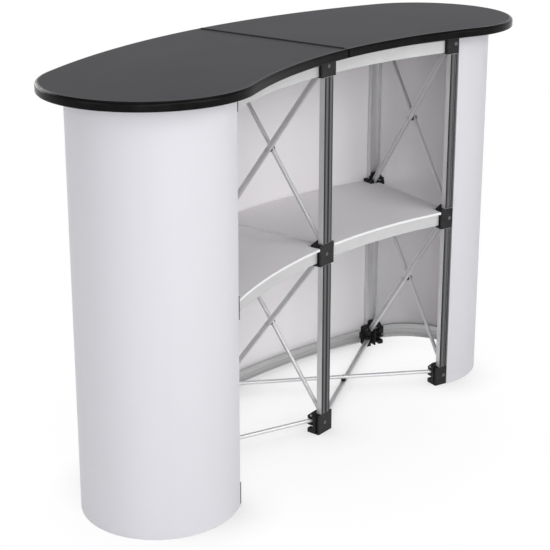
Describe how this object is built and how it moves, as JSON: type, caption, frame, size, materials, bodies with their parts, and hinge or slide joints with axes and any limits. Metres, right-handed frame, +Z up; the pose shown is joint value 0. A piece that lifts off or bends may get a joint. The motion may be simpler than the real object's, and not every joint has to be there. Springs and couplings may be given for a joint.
{
  "type": "folding exhibition counter",
  "caption": "Kidney-shaped folding exhibition counter: hinged split top on channel posts with a hub and scissor lattice, curved bars, shelf boards and a wrap panel.",
  "frame": {"origin": "on the floor under the centre of the outline", "axes": "+X along the length, to the right for a person who stands at the open rear; +Y to the closed front; +Z up"},
  "size_m": [1.4578, 0.5438, 0.9476],
  "materials": {
    "top_laminate": "dark grey matt laminate on board",
    "edge_rubber": "black soft edge band, slight gloss",
    "panel_sheet": "white flexible sheet, satin",
    "shelf_board": "white board, satin",
    "hub_moulding": "black moulded plastic",
    "plug_moulding": "black moulded plastic",
    "spacer_moulding": "black moulded plastic",
    "magnetic_tape": "dark magnetic tape, matt",
    "screw_steel": "zinc plated",
    "rivet_steel": "zinc plated",
    "hinge_steel": "blackened",
    "post_aluminium": "satin anodised",
    "broad_bar_aluminium": "satin anodised with lengthwise grooves",
    "tube_aluminium": "satin anodised",
    "curved_bar_aluminium": "satin anodised"
  },
  "bodies": {
    "frame": {"bar_end_plugs": "plug_moulding", "end_hoop_left": "curved_bar_aluminium", "end_hoop_right": "curved_bar_aluminium", "front_left_hubs": "hub_moulding", "front_left_post_lower": "post_aluminium", "front_left_post_upper": "post_aluminium", "front_low_bar_left": "curved_bar_aluminium", "front_low_bar_right": "curved_bar_aluminium", "front_mid_hubs": "hub_moulding", "front_mid_post_lower": "post_aluminium", "front_mid_post_upper": "post_aluminium", "front_right_hubs": "hub_moulding", "front_right_post_lower": "post_aluminium", "front_right_post_upper": "post_aluminium", "front_shelf_bar_left": "curved_bar_aluminium", "front_shelf_bar_right": "curved_bar_aluminium", "hub_screws": "screw_steel", "lattice_rivets": "rivet_steel", "left_floor_broad_bar": "broad_bar_aluminium", "left_floor_thin_tube": "tube_aluminium", "left_lower_broad_bar": "broad_bar_aluminium", "left_lower_thin_tube": "tube_aluminium", "left_upper_broad_bar": "broad_bar_aluminium", "left_upper_thin_tube": "tube_aluminium", "magnetic_tapes": "magnetic_tape", "mid_lower_broad_bar": "broad_bar_aluminium", "mid_lower_thin_tube": "tube_aluminium", "mid_upper_broad_bar": "broad_bar_aluminium", "mid_upper_thin_tube": "tube_aluminium", "pivot_spacers": "spacer_moulding", "rear_left_hubs": "hub_moulding", "rear_left_post_lower": "post_aluminium", "rear_left_post_upper": "post_aluminium", "rear_mid_hubs": "hub_moulding", "rear_mid_post_lower": "post_aluminium", "rear_mid_post_upper": "post_aluminium", "rear_right_hubs": "hub_moulding", "rear_right_post_lower": "post_aluminium", "rear_right_post_upper": "post_aluminium", "rear_shelf_bar_left": "curved_bar_aluminium", "rear_shelf_bar_right": "curved_bar_aluminium", "rear_top_bar_left": "curved_bar_aluminium", "rear_top_bar_right": "curved_bar_aluminium", "right_floor_broad_bar": "broad_bar_aluminium", "right_floor_thin_tube": "tube_aluminium", "right_lower_broad_bar": "broad_bar_aluminium", "right_lower_thin_tube": "tube_aluminium", "right_upper_broad_bar": "broad_bar_aluminium", "right_upper_thin_tube": "tube_aluminium", "shelf_left": "shelf_board", "shelf_right": "shelf_board", "wrap_panel": "panel_sheet"},
    "top_left_half": {"top_left": "top_laminate", "edge_band_left": "edge_rubber", "hinge_leaf_left": "hinge_steel", "hinge_pin": "hinge_steel"},
    "top_right_half": {"top_right": "top_laminate", "edge_band_right": "edge_rubber", "hinge_leaf_right": "hinge_steel"}
  },
  "joints": [
    {"name": "top_lift", "type": "slide", "parent": "frame", "child": "top_left_half", "axis": [0, 0, 1], "range_m": [0, 0.15]},
    {"name": "top_fold", "type": "hinge", "parent": "top_left_half", "child": "top_right_half", "pos_m": [0, 0.0469, 0.9453], "axis": [0, -1, 0], "range_deg": [0, 178]}
  ]
}
